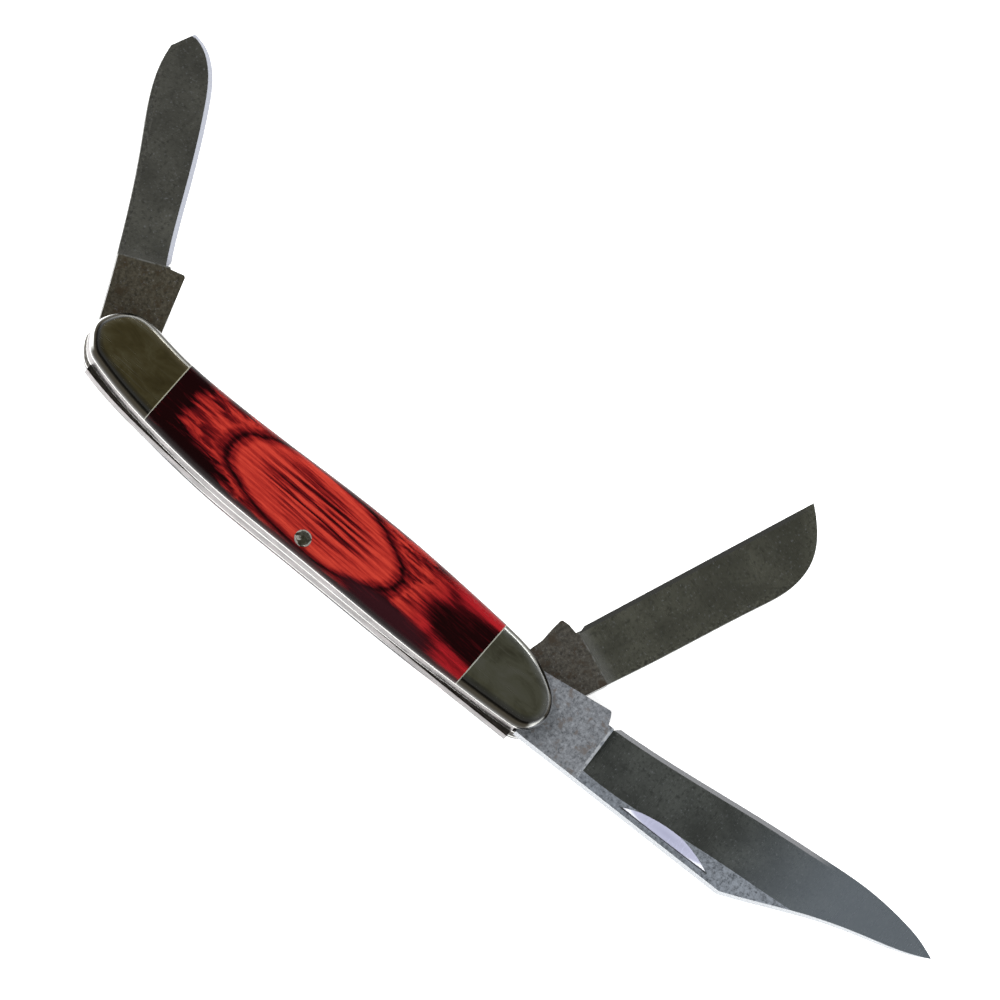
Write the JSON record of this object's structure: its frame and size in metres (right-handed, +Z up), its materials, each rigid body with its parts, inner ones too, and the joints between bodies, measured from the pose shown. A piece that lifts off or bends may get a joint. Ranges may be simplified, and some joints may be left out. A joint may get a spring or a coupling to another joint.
{
  "type": "whittling knife",
  "caption": "Folding whittling knife with clip, sheepsfoot and spey blades, laminated wood covers, polished bolsters and bowed back springs.",
  "frame": {"origin": "on the plane that the knife lies on, under the middle of the handle", "axes": "+X along the handle to the clip blade's end, +Y to the side the blades swing out of, +Z up through the handle to the side with the clip blade's nail nick"},
  "size_m": [0.1988, 0.0691, 0.0129],
  "materials": {
    "laminated_wood": "gloss",
    "nickel_silver": "mirror polished",
    "liner_metal": "satin",
    "rivet_metal": "polished",
    "spring_steel": "satin",
    "blade_steel": "fine ground"
  },
  "bodies": {
    "handle": {"rear_left_bolster": "nickel_silver", "rear_right_bolster": "nickel_silver", "front_left_bolster": "nickel_silver", "front_right_bolster": "nickel_silver", "rear_cover": "laminated_wood", "front_cover": "laminated_wood", "rear_liner": "liner_metal", "centre_liner": "liner_metal", "front_liner": "liner_metal", "front_spring": "spring_steel", "rear_spring": "spring_steel", "master_pivot_pin": "nickel_silver", "small_pivot_pin": "nickel_silver", "centre_pin": "rivet_metal"},
    "clip": {"clip_blade": "blade_steel"},
    "sheepsfoot": {"sheepsfoot_blade": "blade_steel"},
    "spey": {"spey_blade": "blade_steel"}
  },
  "joints": [
    {"name": "clip_hinge", "type": "hinge", "parent": "handle", "child": "clip", "pos_m": [0.0432, 0.0021, 0.00785], "axis": [0, 0, 1], "range_deg": [0, 172], "deforming": ["front_spring"]},
    {"name": "sheepsfoot_hinge", "type": "hinge", "parent": "handle", "child": "sheepsfoot", "pos_m": [0.0432, 0.0021, 0.00475], "axis": [0, 0, 1], "range_deg": [-63.9, 104.3], "deforming": ["rear_spring"]},
    {"name": "spey_hinge", "type": "hinge", "parent": "handle", "child": "spey", "pos_m": [-0.0432, 0.0021, 0.00475], "axis": [0, 0, -1], "range_deg": [-55.2, 117.2], "deforming": ["rear_spring"]}
  ]
}
